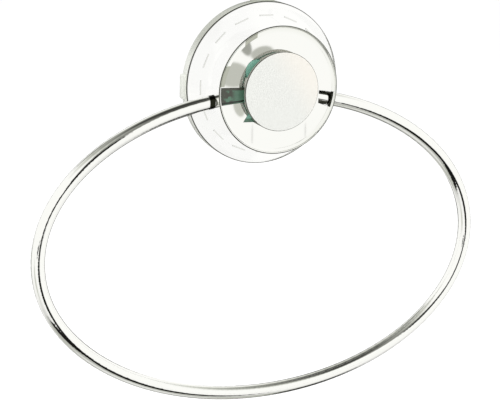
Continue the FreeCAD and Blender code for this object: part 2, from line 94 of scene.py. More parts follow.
class CupSizes(bpy.types.PropertyGroup):
    """Sizes of the suction cup. A depth is a distance from the wall."""
    radius: length("Cup radius", 36.1 * MM, "Outer radius of the cup")
    edge: length("Edge depth", 5.7 * MM, "Depth of the cup's edge")
    edge_round: length("Edge rounding", 0.7 * MM, "Rounding of the edge in front")
    seat_radius: length("Seat radius", 21.9 * MM, "Radius of the flat seat under the dish")
    seat: length("Seat depth", 9.57 * MM, "Depth of the seat, just behind the dish's foot")
    neck_radius: length("Neck radius", 7.5 * MM, "Radius of the neck round the stud")
    neck: length("Neck depth", 11.87 * MM, "Depth of the neck, just behind the dish's floor")
    hollow: length("Hollow", 1.3 * MM, "Depth of the hollow in the back")
    lip: length("Lip width", 4.5 * MM, "Width of the flat lip round the hollow")
    turn: FloatProperty(name="Turn", default=2.0, description="Turn of the cup on the wall, in degrees")
    nib_width: length("Nib width", 11.0 * MM, "Width of a grip nib")
    nib_reach: length("Nib reach", 1.59 * MM, "How far a nib stands out of the edge")
    nib_start: length("Nib start", 0.8 * MM, "From the wall to the back of a nib")
    nib_thick: length("Nib thickness", 3.4 * MM, "Thickness of a nib")
    dash_ring: length("Dash ring", 30.25 * MM, "Radius of the ring of raised dashes")
    dash_length: length("Dash length", 6.5 * MM, "Length of a dash")
    dash_width: length("Dash width", 0.6 * MM, "Width of a dash")
    dash_rise: length("Dash height", 0.3 * MM, "Height of a dash over the face")
    dash_count: IntProperty(name="Dashes", default=16, min=1, description="Number of dashes in the ring")


class Finishes(bpy.types.PropertyGroup):
    """Colours of the materials."""
    chrome: colour("Chrome", "F7F7F4", "Bright polished chrome plate")
    # rim: painted reflection, the dark line that the sharp rim reflects, painted onto it.
    rim: colour("Rim line", "5C5F53", "Thin plate along the dish's rim")
    # painted_rim_reflection: painted reflection, the grey that the plate reflects beside the rim at the
    # right.
    painted_rim_reflection: colour("Beside the rim", "ECEDE7", "Thinner plate at the right, next to the rim")
    # painted_grey_patch: painted reflections, the grey patches that the plate reflects beside the rim at
    # the upper left.
    painted_grey_patch: colour("Dull plate", "B4B6AA", "Dull plate beside the rim, at the upper left")
    # held: painted reflection, the dark things that the wire reflects near its ends, painted onto its
    # plate.
    held: colour("Held places", "24251C", "Dark marks where the wire was held for plating")
    # inside: painted shade, dark where the dish's inside lies in shade; it is also made dull and not metal.
    inside: colour("Inside", "4A4B40", "Bare casting inside the dish")
    cap: colour("Cap", "F9F5EC", "Pale satin cap")
    # cap_shaded_low_left: painted shade, darker and cooler low on the cap's left.
    cap_shaded_low_left: colour("Cap, cooler part", "EFF0EB", "Pale satin cap, low on its left")
    # cap_edge_shade and cap_side_shade: painted shade, the dark shadow gap at the cap's edge and side.
    cap_edge_shade: colour("Cap's edge", "3A3B30", "Raw cut edge of the cap")
    cap_side_shade: colour("Cap's side", "9FA094", "Bent side of the cap")
    carrier: colour("Carrier", "8BBDAB", "Teal moulded carrier")
    # arm: painted shade, the darker teal of the carrier's arm and of its toe's foot, which lie in shade.
    arm: colour("Carrier's arm", "5A7D68", "Darker teal of the carrier's arm and of its toe's foot")
    # arm_shade: painted shade, the dark blotches and top of the arm.
    arm_shade: colour("Carrier's arm, blotches", "45483E", "Dark blotches and top of the arm")
    # arm_shadow_line: a painted shadow line along the arm's lower edge.
    arm_shadow_line: colour("Carrier's arm, line", "1F221A", "Dark line along the arm's lower edge")
    cup: colour("Cup", "FFFFFD", "Clear soft vinyl")
    # cup_milky_shaded_top: milky vinyl with painted shade, greyer at the top of the thick edge.
    cup_milky_shaded_top: colour("Cup's side", "C0C3B7", "Milky vinyl of the thick edge, at the top")
    cup_low: colour("Cup's side, low", "FBFDF5", "Milky vinyl of the thick edge, lower down")
    cup_dash: colour("Cup's dashes", "D0D1CA", "Vinyl of the raised dashes")
    # cup_rounding_shade: painted shade, nearly black where the edge's rounding bends the light away.
    cup_rounding_shade: colour("Cup's edge line", "21221A", "Vinyl in the rounding of the edge")
    zinc: colour("Zinc", "B9BAB6", "Zinc-plated steel")


class StageSettings(bpy.types.PropertyGroup):
    """Floor and camera."""
    azimuth: FloatProperty(name="Azimuth", default=-24.82, description="Camera's turn, in degrees")
    elevation: FloatProperty(name="Elevation", default=14.58, description="Camera's height, in degrees")
    roll: FloatProperty(name="Roll", default=3.47, description="Camera's roll, in degrees")
    distance: length("Distance", 646.52 * MM, "From the mount to the camera")
    aside: length("Aside", 12.51 * MM, "How far the camera stands to the left of the mount")
    below: length("Below", 47.07 * MM, "How far the camera stands below the mount")
    lens: FloatProperty(name="Lens", default=108.32, description="Focal length for the sensor, in mm")
    floor: length("Floor", 0.14, "How far the floor lies under the ring")


def kept(settings):
    return getattr(bpy.context.scene, settings)


def add_node(tree, kind, links=None, **values):
    """A node with its settings, its socket values and its links, given as input name or number to
    socket."""
    node = tree.nodes.new(kind)
    for name, value in values.items():
        if name == "inputs":
            for socket, number in value.items():
                node.inputs[socket].default_value = number
        else:
            setattr(node, name, value)
    for socket, source in (links or {}).items():
        tree.links.new(source, node.inputs[socket])
    return node


def new_material(name):
    """An empty node material, its node tree and its output."""
    material = bpy.data.materials.new(name)
    material.use_nodes = True
    material.node_tree.nodes.clear()
    output = material.node_tree.nodes.new("ShaderNodeOutputMaterial")
    return material, material.node_tree, output


def rgba(value):
    return (*value, 1.0)


def region(tree, *steps):
    """1 in a region and 0 outside it, with soft ends. Each step is a socket and two values: the region
    starts softly at the first and is full at the second."""
    where = None
    for value, start, full in steps:
        step = add_node(tree, "ShaderNodeMapRange", {"Value": value}, interpolation_type="SMOOTHSTEP",
                        inputs={"From Min": start, "From Max": full}).outputs[0]
        if where is not None:
            step = add_node(tree, "ShaderNodeMath", {0: where, 1: step}, operation="MULTIPLY").outputs[0]
        where = step
    return where


def between(value, low, high, soft=0.2 * MM):
    """The two steps of a region that lies between two values."""
    return (value, low - soft, low + soft), (value, high + soft, high - soft)


def painted(tree, base, *coats):
    """A colour with coats over it. Each coat is its region and its colour. A colour may be a socket."""
    for where, paint in coats:
        mix = add_node(tree, "ShaderNodeMix", {"Factor": where}, data_type="RGBA")
        for socket, shade in (("A", base), ("B", paint)):
            if isinstance(shade, bpy.types.NodeSocket):
                tree.links.new(shade, mix.inputs[socket])
            else:
                mix.inputs[socket].default_value = rgba(shade)
        base = mix.outputs["Result"]
    return base


def mount_places(tree):
    """Object place, its parts, and the distance from the mount's axis."""
    place = add_node(tree, "ShaderNodeTexCoord").outputs["Object"]
    parts = add_node(tree, "ShaderNodeSeparateXYZ", {0: place}).outputs
    flat = add_node(tree, "ShaderNodeVectorMath", {0: place}, operation="MULTIPLY",
                    inputs={1: (1.0, 0.0, 1.0)})
    away = add_node(tree, "ShaderNodeVectorMath", {0: flat.outputs[0]}, operation="LENGTH")
    return place, parts, away.outputs["Value"]


# Spacing of the buffing marks on the plate. Real ones are finer and wouldn't show.
BUFFING = 5 / 6 * MM


def plated(name, smooth, dull):
    """Bright decorative chrome plate, buffed: a mirror with fine, soft buffing marks. Gives the
    material, its node tree, its shader and its roughness."""
    material, tree, output = new_material(name)
    place = add_node(tree, "ShaderNodeTexCoord").outputs["Object"]
    marks = add_node(tree, "ShaderNodeTexNoise", {"Vector": place},
                     inputs={"Scale": 1 / BUFFING, "Detail": 3.0})
    rough = add_node(tree, "ShaderNodeMapRange", {"Value": marks.outputs["Fac"]},
                     inputs={"To Min": smooth, "To Max": dull}).outputs[0]
    shader = add_node(tree, "ShaderNodeBsdfPrincipled", {"Roughness": rough},
                      inputs={"Base Color": rgba(kept("ring_finishes").chrome), "Metallic": 1.0})
    tree.links.new(shader.outputs[0], output.inputs["Surface"])
    return material, tree, shader, rough


# Where dark reflections are painted on the wire, near either end: each place from left to right in X, and
# in Z the step above which they lie.
DARK_REFLECTION_PLACES = ((-30.9 * MM, -28.3 * MM), (25.0 * MM, 28.4 * MM))
DARK_REFLECTION_ABOVE = (-13 * MM, -12 * MM)


def chrome_material():
    """The wire's plate. Near either end, a dark reflection is painted on it."""
    finishes = kept("ring_finishes")
    material, tree, shader = plated("polished_chrome_wire", smooth=0.015, dull=0.035)[:3]
    parts = mount_places(tree)[1]
    # held: the painted dark reflections near the wire's ends.
    held = [(region(tree, (parts["Z"], *DARK_REFLECTION_ABOVE), *between(parts["X"], left, right)), finishes.held)
            for left, right in DARK_REFLECTION_PLACES]
    tree.links.new(painted(tree, finishes.chrome, *held), shader.inputs["Base Color"])
    return material


# Steps outwards from the dish's axis: to the grey reflection painted beside the rim, to the hollow and to
# the dark reflection painted on the rim as a line.
RIM_REFLECTION = (24.5 * MM, 27.9 * MM)
RIM_HOLLOW = (25.4 * MM, 25.7 * MM)
RIM_LINE = (27.5 * MM, 27.65 * MM)
# The way to the dish's right side, and the step along it to the painted grey reflection.
RIGHT_WAY = (0.93, 0.0, 0.37)
RIGHT_SIDE = (-12 * MM, 12 * MM)
# The grey reflections painted in patches in the hollow: from and to in X, from and to in Z.
GREY_REFLECTION_PATCHES = ((-30 * MM, -18 * MM, 1.9 * MM, 10.8 * MM), (-17.0 * MM, -11.5 * MM, 15 * MM, 30 * MM))
# The step in Y to what lies behind the plate.
BEHIND_PLATE = (-21.95 * MM, -21.8 * MM)
# How much the dish's side leans outwards for each unit of depth, and the step to what lies within that
# side, as its radius at the wall.
DISH_LEAN = 0.522
WITHIN_SIDE = (16.25 * MM, 16.1 * MM)
# How much rougher the casting is than the plate.
CASTING_ROUGH = 0.4


def dish_material():
    """The dish's plate, finer buffed. Reflections are painted on it: it is greyer beside the rim at the
    right, grey in patches at the upper left, and a dark line is painted on the sharp rim. It doesn't reach
    the inside, which is left a dull casting, painted dark as shade."""
    finishes = kept("ring_finishes")
    material, tree, shader, rough = plated("polished_chrome_dish", smooth=0.008, dull=0.02)
    place, parts, away = mount_places(tree)
    aside = add_node(tree, "ShaderNodeVectorMath", {0: place}, operation="DOT_PRODUCT",
                     inputs={1: RIGHT_WAY})
    # beside: where the grey reflection is painted beside the rim at the right.
    beside = region(tree, (away, *RIM_REFLECTION), (aside.outputs["Value"], *RIGHT_SIDE))
    coats = [(beside, finishes.painted_rim_reflection)]
    # Grey reflections painted in patches at the upper left.
    for left, right, low, high in GREY_REFLECTION_PATCHES:
        patch = region(tree, (away, *RIM_HOLLOW), *between(parts["X"], left, right),
                       *between(parts["Z"], low, high))
        coats.append((patch, finishes.painted_grey_patch))
    side = add_node(tree, "ShaderNodeMath", {0: parts["Y"], 2: away}, operation="MULTIPLY_ADD",
                    inputs={1: DISH_LEAN})
    # inside: the dish's inside, painted dark as shade and made dull and not metal.
    inside = region(tree, (parts["Y"], *BEHIND_PLATE), (side.outputs[0], *WITHIN_SIDE))
    # The rim's line is a painted dark reflection.
    coats += [(region(tree, (away, *RIM_LINE)), finishes.rim), (inside, finishes.inside)]
    rougher = add_node(tree, "ShaderNodeMath", {0: inside, 2: rough}, operation="MULTIPLY_ADD",
                       inputs={1: CASTING_ROUGH})
    metal = add_node(tree, "ShaderNodeMapRange", {"Value": inside}, inputs={"To Min": 1.0, "To Max": 0.0})
    tree.links.new(painted(tree, finishes.chrome, *coats), shader.inputs["Base Color"])
    tree.links.new(rougher.outputs[0], shader.inputs["Roughness"])
    tree.links.new(metal.outputs[0], shader.inputs["Metallic"])
    return material


# Spacing of the blasted grain on the cap.
BLAST_GRAIN = 0.4 * MM
# The way to the cap's lit part at the upper right, away from the shade painted low on its left, and the
# step along it.
LIT_WAY = (0.8, 0.0, 0.6)
LIT_PART = (0.0, 16 * MM)
# Steps outwards from the axis to the cap's bent side and to its edge, both painted dark as shade; the
# edge's starts at a step in Y.
CAP_SIDE = (17.1 * MM, 17.2 * MM)
CAP_EDGE = (16.95 * MM, 17.1 * MM)
CAP_EDGE_FRONT = (-25.2 * MM, -25.35 * MM)


def cap_material():
    """Satin disc: a fine even bead blast under clear lacquer, which spreads every reflection to a pale
    glow. Shade is painted on it: it is a little darker and cooler low on the left than at the upper
    right, and its bent side and its edge are dark."""
    finishes = kept("ring_finishes")
    material, tree, output = new_material("satin_lacquered_cap")
    place, parts, away = mount_places(tree)
    grain = add_node(tree, "ShaderNodeTexNoise", {"Vector": place},
                     inputs={"Scale": 1 / BLAST_GRAIN, "Detail": 2.0})
    bump = add_node(tree, "ShaderNodeBump", {"Height": grain.outputs["Fac"]},
                    inputs={"Strength": 0.04, "Distance": 0.02 * MM})
    lit_side = add_node(tree, "ShaderNodeVectorMath", {0: place}, operation="DOT_PRODUCT",
                    inputs={1: LIT_WAY})
    satin = painted(tree, finishes.cap_shaded_low_left,
                    (region(tree, (lit_side.outputs["Value"], *LIT_PART)), finishes.cap),
                    (region(tree, (away, *CAP_SIDE)), finishes.cap_side_shade),
                    (region(tree, (away, *CAP_EDGE), (parts["Y"], *CAP_EDGE_FRONT)), finishes.cap_edge_shade))
    shader = add_node(tree, "ShaderNodeBsdfPrincipled", {"Normal": bump.outputs[0], "Base Color": satin},
                      inputs={"Roughness": 0.4})
    tree.links.new(shader.outputs[0], output.inputs["Surface"])
    return material


# Size of the lumps in the carrier's flow pattern, and the step in that pattern from plain to a blotch of
# painted shade.
ABS_FLOW = 3.03 * MM
BLOTCH = (0.38, 0.5)
# Steps in X to the carrier's arm, painted darker as shade, and, further out, to its blotches of painted
# shade.
ARM_START = (-15.9 * MM, -16.1 * MM)
ARM_SHADE_BLOTCHES = (-19.5 * MM, -22.5 * MM)
# Steps in Z to what lies above the toe, to the arm's top, painted dark as shade, and down to the toe's
# foot, also painted dark as shade.
ARM_ABOVE = (-9.0 * MM, -8.0 * MM)
ARM_SHADED_TOP = (0.1 * MM, 0.6 * MM)
TOE_SHADED_FOOT = (-11.7 * MM, -12.3 * MM)
# The way across the arm's sloping lower edge, and along it the painted shadow line's two bounds and their
# softness.
ARM_ACROSS = (-0.114, 0.0, 1.0)
ARM_SHADOW_LINE = (-2.7 * MM, -2.0 * MM, 0.1 * MM)


def carrier_material():
    """Moulded ABS, coloured through, with the soft gloss of a polished mould. Shade is painted on it: its
    arm is darker and blotched, with a dark top and a shadow line along its lower edge, and the foot of its
    toe is dark."""
    finishes = kept("ring_finishes")
    material, tree, output = new_material("teal_moulded_abs")
    place, parts = mount_places(tree)[:2]
    flow = add_node(tree, "ShaderNodeTexNoise", {"Vector": place},
                    inputs={"Scale": 1 / ABS_FLOW, "Detail": 3.0}).outputs["Fac"]
    rough = add_node(tree, "ShaderNodeMapRange", {"Value": flow}, inputs={"To Min": 0.25, "To Max": 0.35})
    across = add_node(tree, "ShaderNodeVectorMath", {0: place}, operation="DOT_PRODUCT",
                      inputs={1: ARM_ACROSS})
    # arm: the carrier's arm with its painted shade.
    arm = painted(tree, finishes.arm,
                  (region(tree, (flow, *BLOTCH), (parts["X"], *ARM_SHADE_BLOTCHES)), finishes.arm_shade),
                  (region(tree, (parts["Z"], *ARM_SHADED_TOP)), finishes.arm_shade),
                  (region(tree, *between(across.outputs["Value"], *ARM_SHADOW_LINE)), finishes.arm_shadow_line))
    teal = painted(tree, finishes.carrier,
                   (region(tree, (parts["X"], *ARM_START), (parts["Z"], *ARM_ABOVE)), arm),
                   (region(tree, (parts["Z"], *TOE_SHADED_FOOT)), finishes.arm))
    shader = add_node(tree, "ShaderNodeBsdfPrincipled",
                      {"Roughness": rough.outputs[0], "Base Color": teal}, inputs={"IOR": 1.53})
    tree.links.new(shader.outputs[0], output.inputs["Surface"])
    return material


# Spacing of the soft waves in the vinyl's skin.
VINYL_WAVES = 6.25 * MM
# How far under the cup's outer skin the milky vinyl and the dark rounding start and are full, and how
# far behind the front of its edge that rounding does.
MILKY_UNDER = (0.35 * MM, 0.1 * MM)
ROUNDING_UNDER = (0.5 * MM, 0.35 * MM)
ROUNDING_BEHIND = (0.6 * MM, 0.4 * MM)
# The step in Z from the side's top, painted greyer as shade, to its lower part, and how high over the cone
# a dash starts and is full.
SIDE_LOWER = (22 * MM, 8 * MM)
DASH_OVER = (0.04 * MM, 0.1 * MM)
# How rough the milky vinyl is, and how much light it lets through.
MILKY_ROUGH = 0.25
MILKY_CLEAR = 0.1


def cup_material():
    """Clear plasticised vinyl, moulded: water-clear through its face, milky on the thick edge and the
    nibs, with shade painted on that edge to grey it at the top, and painted nearly black in the tight
    rounding of that edge, which bends the light away. Its dashes look greyish."""
    cup = kept("ring_cup_sizes")
    finishes = kept("ring_finishes")
    material, tree, output = new_material("clear_soft_vinyl")
    place, parts, away = mount_places(tree)
    waves = add_node(tree, "ShaderNodeTexNoise", {"Vector": place},
                     inputs={"Scale": 1 / VINYL_WAVES, "Detail": 2.0})
    bump = add_node(tree, "ShaderNodeBump", {"Height": waves.outputs["Fac"]},
                    inputs={"Strength": 0.05, "Distance": 0.1 * MM})
    slope = (cup.seat - cup.edge) / (cup.radius - cup.seat_radius)
    cone = cup.edge + slope * cup.radius
    fall = add_node(tree, "ShaderNodeMath", {0: away}, operation="MULTIPLY", inputs={1: slope})
    over = add_node(tree, "ShaderNodeMath", {0: fall.outputs[0], 1: parts["Y"]}, operation="SUBTRACT")
    side = region(tree, (away, *(cup.radius - under for under in MILKY_UNDER)))
    rounding = region(tree, (away, *(cup.radius - under for under in ROUNDING_UNDER)),
                      (parts["Y"], *(behind - cup.edge for behind in ROUNDING_BEHIND)))
    dashes = region(tree, (over.outputs[0], *(cone + rise for rise in DASH_OVER)))
    milky = painted(tree, finishes.cup_milky_shaded_top, (region(tree, (parts["Z"], *SIDE_LOWER)), finishes.cup_low))
    clear = painted(tree, finishes.cup, (side, milky), (rounding, finishes.cup_rounding_shade),
                    (dashes, finishes.cup_dash))
    rough = add_node(tree, "ShaderNodeMapRange", {"Value": side},
                     inputs={"To Min": 0.0, "To Max": MILKY_ROUGH})
    through = add_node(tree, "ShaderNodeMapRange", {"Value": side},
                       inputs={"To Min": 1.0, "To Max": MILKY_CLEAR})
    shader = add_node(tree, "ShaderNodeBsdfPrincipled",
                      {"Normal": bump.outputs[0], "Base Color": clear, "Roughness": rough.outputs[0],
                       "Transmission Weight": through.outputs[0]}, inputs={"IOR": 1.5})
    tree.links.new(shader.outputs[0], output.inputs["Surface"])
    return material


# Size of the blotches in the zinc's passivated layer.
ZINC_BLOTCHES = 2.857 * MM


def zinc_material():
    """Bright zinc plate on steel: a dull mirror with the blotches of the passivated layer."""
    material, tree, output = new_material("bright_zinc_plate")
    place = add_node(tree, "ShaderNodeTexCoord").outputs["Object"]
    blotches = add_node(tree, "ShaderNodeTexNoise", {"Vector": place},
                        inputs={"Scale": 1 / ZINC_BLOTCHES, "Detail": 4.0})
    rough = add_node(tree, "ShaderNodeMapRange", {"Value": blotches.outputs["Fac"]},
                     inputs={"To Min": 0.22, "To Max": 0.42})
    shader = add_node(tree, "ShaderNodeBsdfPrincipled", {"Roughness": rough.outputs[0]},
                      inputs={"Base Color": rgba(kept("ring_finishes").zinc), "Metallic": 1.0})
    tree.links.new(shader.outputs[0], output.inputs["Surface"])
    return material


MADE = {}


def material_once(maker):
    """The material that a maker gives, made on its first use."""
    name = maker.__name__
    if name not in MADE:
        MADE[name] = maker()
    return MADE[name]


def paint_node(node, maker):
    """Gives a node of the frame its finished material."""
    for entry in frame["nodes"][node].material_slots:
        entry.material = material_once(maker)


class RING_OT_wire(bpy.types.Operator):
    """Finish the wire ring"""
    bl_idname = "towel_ring.wire"
    bl_label = "Wire ring"

    def execute(self, context):
        paint_node("ring_wire", chrome_material)
        return {"FINISHED"}


class RING_OT_housing(bpy.types.Operator):
    """Finish the dish housing"""
    bl_idname = "towel_ring.housing"
    bl_label = "Dish housing"

    def execute(self, context):
        paint_node("housing", dish_material)
        return {"FINISHED"}


class RING_OT_cap(bpy.types.Operator):
    """Finish the cap and its carrier"""
    bl_idname = "towel_ring.cap"
    bl_label = "Cap and carrier"

    def execute(self, context):
        paint_node("front_cap", cap_material)
        paint_node("cap_carrier", carrier_material)
        return {"FINISHED"}


# How finely the cup is turned and its hollow, front edge and back edge are drawn, and how close its points
# are welded.
TURN_STEPS = 160
HOLLOW_STEPS = 10
EDGE_STEPS = 6
BACK_STEPS = 3
WELD = 0.002 * MM
# The rounding at the cup's back edge, how deep a nib is rooted in it, and the roundings of a nib and a
# dash.
BACK_ROUND = 0.15 * MM
NIB_ROOT = 2.4 * MM
NIB_ROUND = 1.1 * MM
DASH_ROUND = 0.12 * MM
# Where the nibs stand, counter-clockwise from the right, and the angle from which an edge stays sharp,
# both in degrees.
NIB_ANGLES = (90, 180)
SHARP_ANGLE = 28


def alone(*pieces):
    """Selects only these pieces, the first one active."""
    bpy.ops.object.select_all(action="DESELECT")
    for piece in pieces:
        piece.select_set(True)
    bpy.context.view_layer.objects.active = pieces[0]


def turned(name, profile):
    """A body turned about the mount's axis from a profile of radii and depths."""
    bpy.ops.object.select_all(action="DESELECT")
    bpy.ops.mesh.primitive_plane_add(size=MM)
    piece = bpy.context.object
    piece.name = piece.data.name = name
    bpy.ops.object.mode_set(mode="EDIT")
    bpy.ops.mesh.select_all(action="SELECT")
    bpy.ops.mesh.merge(type="CENTER")
    here = Vector()
    for index, (radius, depth) in enumerate(profile):
        there = Vector((radius, -depth, 0))
        if index == 0:
            bpy.ops.transform.translate(value=there - here)
        else:
            bpy.ops.mesh.extrude_region_move(TRANSFORM_OT_translate={"value": there - here})
        here = there
    bpy.ops.mesh.select_all(action="SELECT")
    bpy.ops.mesh.spin(steps=TURN_STEPS, angle=2 * math.pi, center=(0, 0, 0), axis=(0, 1, 0))
    bpy.ops.mesh.select_all(action="SELECT")
    bpy.ops.mesh.remove_doubles(threshold=WELD)
    bpy.ops.mesh.normals_make_consistent(inside=False)
    bpy.ops.object.mode_set(mode="OBJECT")
    return piece


def arc(radius_at, depth_at, radius, start, end, steps):
    """Profile points along an arc, its angles in degrees from outwards towards the front."""
    points = []
    for step in range(steps + 1):
        angle = math.radians(start + (end - start) * step / steps)
        points.append((radius_at + radius * math.cos(angle), depth_at + radius * math.sin(angle)))
    return points


def block(name, size, place, bevel):
    """A bar with rounded edges, at a place, its size along each axis."""
    bpy.ops.object.select_all(action="DESELECT")
    bpy.ops.mesh.primitive_cube_add(size=1, location=place)
    piece = bpy.context.object
    piece.name = piece.data.name = name
    piece.scale = size
    bpy.ops.object.transform_apply(location=True, rotation=True, scale=True)
    rounding = piece.modifiers.new("Rounding", "BEVEL")
    rounding.width = bevel
    rounding.segments = 3
    bpy.ops.object.modifier_apply(modifier=rounding.name)
    return piece


def swung(piece, angle):
    """A copy of a piece with its own mesh, swung about the mount's axis, counter-clockwise from the
    front."""
    alone(piece)
    bpy.ops.object.duplicate(linked=False)
    copy = bpy.context.object
    copy.rotation_euler = (0, -math.radians(angle), 0)
    bpy.ops.object.transform_apply(location=False, rotation=True, scale=False)
    return copy


def fused(base, others):
    """The others joined to the base as one closed skin, and the others taken away."""
    alone(*others)
    bpy.ops.object.join()
    tool = bpy.context.object
    alone(base)
    union = base.modifiers.new("Fuse", "BOOLEAN")
    union.operation = "UNION"
    union.solver = "EXACT"
    union.use_self = True
    union.object = tool
    bpy.ops.object.modifier_apply(modifier=union.name)
    bpy.data.objects.remove(tool, do_unlink=True)


def cup_profile(cup):
    """Outline of the cup from the middle of its back, round its edge, to the stud's neck."""
    inner_lip = cup.radius - cup.lip
    roof = (inner_lip ** 2 + cup.hollow ** 2) / (2 * cup.hollow)
    spread_angle = math.degrees(math.asin(inner_lip / roof))
    back = [(max(radius, 0.0), depth) for radius, depth in
            arc(0, cup.hollow - roof, roof, 90, 90 - spread_angle, HOLLOW_STEPS)]
    fall = math.degrees(math.atan2(cup.seat - cup.edge, cup.radius - cup.seat_radius))
    reach = cup.edge_round * math.tan(math.radians((90 - fall) / 2))
    edge = arc(cup.radius - cup.edge_round, cup.edge - reach, cup.edge_round, 0, 90 - fall, EDGE_STEPS)
    back_edge = arc(cup.radius - BACK_ROUND, BACK_ROUND, BACK_ROUND, -90, 0, BACK_STEPS)
    return [*back, *back_edge, *edge, (cup.seat_radius, cup.seat), (cup.neck_radius, cup.seat),
            (cup.neck_radius, cup.neck), (0, cup.neck)]


def cone_depth(cup, radius):
    """Depth of the cup's cone at a radius."""
    share = (cup.radius - radius) / (cup.radius - cup.seat_radius)
    return cup.edge + (cup.seat - cup.edge) * share


class RING_OT_cup(bpy.types.Operator):
    """Model the suction cup"""
    bl_idname = "towel_ring.cup"
    bl_label = "Suction cup"

    def execute(self, context):
        cup = kept("ring_cup_sizes")
        piece = turned("clear_cup", cup_profile(cup))
        nib_size = (cup.nib_reach + NIB_ROOT, cup.nib_thick, cup.nib_width)
        nib_place = (cup.radius + (cup.nib_reach - NIB_ROOT) / 2, -cup.nib_start - cup.nib_thick / 2, 0)
        nib = block("nib", nib_size, nib_place, NIB_ROUND)
        dash = block("dash", (cup.dash_width, 2 * cup.dash_rise, cup.dash_length), (0, 0, 0), DASH_ROUND)
        dash.rotation_euler = (0, 0, math.atan2(cup.seat - cup.edge, cup.radius - cup.seat_radius))
        dash.location = (cup.dash_ring, -cone_depth(cup, cup.dash_ring), 0)
        alone(dash)
        bpy.ops.object.transform_apply(location=True, rotation=True, scale=False)
        raised = [swung(nib, angle) for angle in NIB_ANGLES]
        raised += [swung(dash, 360 * index / cup.dash_count) for index in range(cup.dash_count)]
        for spare in (nib, dash):
            bpy.data.objects.remove(spare, do_unlink=True)
        fused(piece, raised)
        alone(piece)
        piece.rotation_euler = (0, -math.radians(cup.turn), 0)
        bpy.ops.object.transform_apply(location=True, rotation=True, scale=True)
        bpy.ops.object.shade_smooth_by_angle(angle=math.radians(SHARP_ANGLE))
        piece.data.materials.clear()
        piece.data.materials.append(material_once(cup_material))
        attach(piece, BODY)
        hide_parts("suction_cup")
        return {"FINISHED"}


class RING_OT_fasteners(bpy.types.Operator):
    """Finish the stud, washer, nut and set screws"""
    bl_idname = "towel_ring.fasteners"
    bl_label = "Fasteners"

    def execute(self, context):
        for node in ("stud", "washer", "hex_nut", "set_screws"):
            paint_node(node, zinc_material)
        return {"FINISHED"}


# What the polished metal sees of the studio, placed on a unit sphere round it: name, turn and height in
# degrees, half width and half height as shares of the sphere's radius, tilt in degrees, edge softness and
# brightness.
REFLECTIONS = (
    ("bright_side", 62, 12, 1.05, 0.85, 0, 0.5, 1.0),
    ("left_haze", -72, -30, 0.30, 0.35, 0, 0.8, 0.6),
    ("behind_left", -150, 42, 0.22, 0.42, -30, 0.6, 0.3),
    ("behind_left_low", -146, -18, 0.20, 0.36, 0, 0.7, 0.25),
    ("ceiling_front", 2, 63, 0.26, 0.22, 0, 0.5, 0.06),
    ("curtain", -16, 42, 0.26, 0.45, 0, 0.5, 0.24),
    ("camera", -10, 20, 0.20, 0.30, 25, 0.35, 0.008),
    ("camera_stand", -7, -3, 0.20, 0.28, 10, 0.3, 0.01),
    ("dark_aside", -30, -11, 0.22, 0.09, 0, 0.8, 0.012),
    ("table_band", -21, -50, 0.60, 0.13, 28, 0.35, 0.01),
    ("table_edge", 1, -25, 0.32, 0.26, -8, 0.3, 0.01),
    ("table_tip", 15, -42, 0.24, 0.32, -25, 0.35, 0.008),
    ("table_far", 92, -58, 0.38, 0.14, 0, 0.35, 0.02),
    ("table_behind", 142, -42, 0.32, 0.32, 0, 0.5, 0.08),
    ("sweep_surround", 155, -15, 0.68, 0.68, 0, 0.4, 0.06),
    ("white_sweep", 155, -15, 0.20, 0.20, 0, 0.3, 1.0),
    ("plate_window", 25.7, -10.3, 0.085, 0.085, 0, 0.2, 0.985),
    ("plate_grey_low", 23.88, -9.87, 0.0125, 0.0095, 0, 0.25, 0.53),
    ("plate_grey_fold", 24.25, -8.70, 0.0045, 0.0095, 28, 0.3, 0.36),
    ("plate_grey_top", 24.94, -8.98, 0.0090, 0.0050, 20, 0.3, 0.49),
    ("plate_grey_foot", 24.18, -11.07, 0.0042, 0.0078, 18, 0.3, 0.56),
    ("plate_line_left", 24.75, -12.1, 0.0007, 0.0100, 2, 0.6, 0.74),
    ("plate_line_right", 26.8, -11.8, 0.0007, 0.0070, 2, 0.6, 0.74),
)
# How far each of them reaches in and out, as a share of the sphere's radius.
REFLECTION_DEPTH = 1.2
# Brightness of the studio by height in degrees.
HEIGHTS = ((-90, 0.80), (-76, 0.75), (-67, 0.48), (-58, 0.46), (-50, 0.70), (-40, 0.90), (-25, 0.98),
           (40, 1.0), (52, 0.60), (62, 0.33), (69, 0.20), (75, 0.06), (90, 0.04))
# Strength of the light on matt surfaces, and of the studio in the polished metal.
SOFT_LIGHT = 0.75
STUDIO_LIGHT = 1.05
# From where to where, towards the wall, what the clear cup refracts turns white, as a share of the sphere's
# radius.
WHITE_WALL = (0.0, 0.3)


def grey(shade):
    """A brightness as a colour. Whites are neutral and the darker greys a little olive."""
    return (shade, shade * 1.02, shade * 0.93) if shade < 0.7 else (shade, shade, shade * 0.985)


def facing(turn, rise):
    """The direction with a turn from the front, to the right, and a height. Both are angles in radians."""
    return Vector((math.sin(turn) * math.cos(rise), -math.cos(turn) * math.cos(rise), math.sin(rise)))


